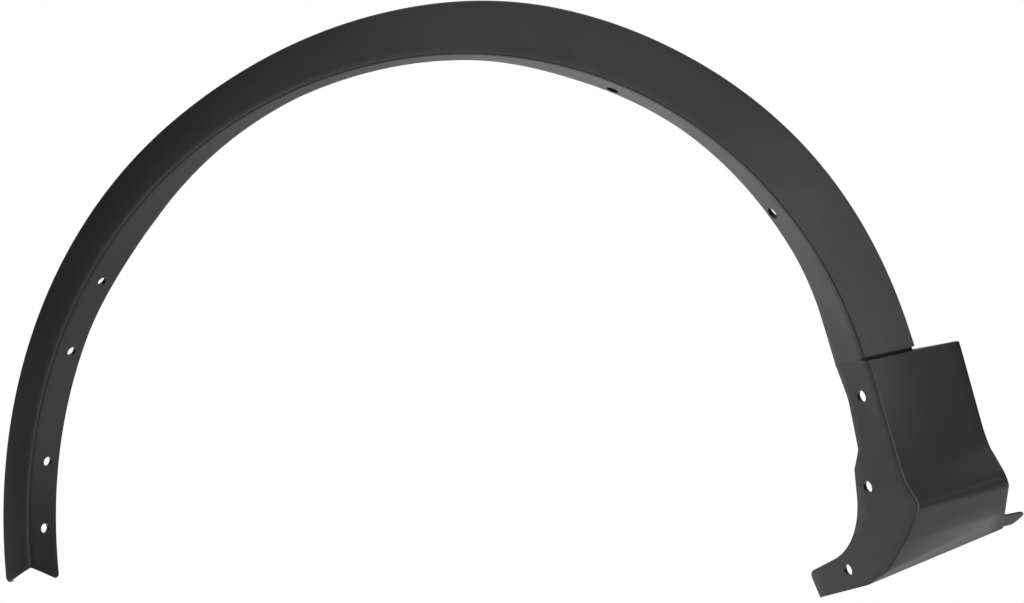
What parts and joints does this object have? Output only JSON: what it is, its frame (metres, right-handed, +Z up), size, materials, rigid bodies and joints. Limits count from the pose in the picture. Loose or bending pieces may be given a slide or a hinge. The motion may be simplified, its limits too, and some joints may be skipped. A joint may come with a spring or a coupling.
{
  "type": "wheel arch trim",
  "caption": "Moulded wheel arch trim for a car's front wing, with the front end of the sill trim in one piece with it.",
  "frame": {"origin": "middle of the crown screw hole, half way through the flange and its collar", "axes": "as fitted on the left side of a car: +X towards the rear, +Y into the car, +Z up over the wheel"},
  "size_m": [1.0168, 0.1738, 0.5965],
  "materials": {
    "trim_plastic": "grained black polypropylene, unpainted"
  },
  "bodies": {
    "root": {"arch_trim": "trim_plastic"}
  },
  "joints": []
}
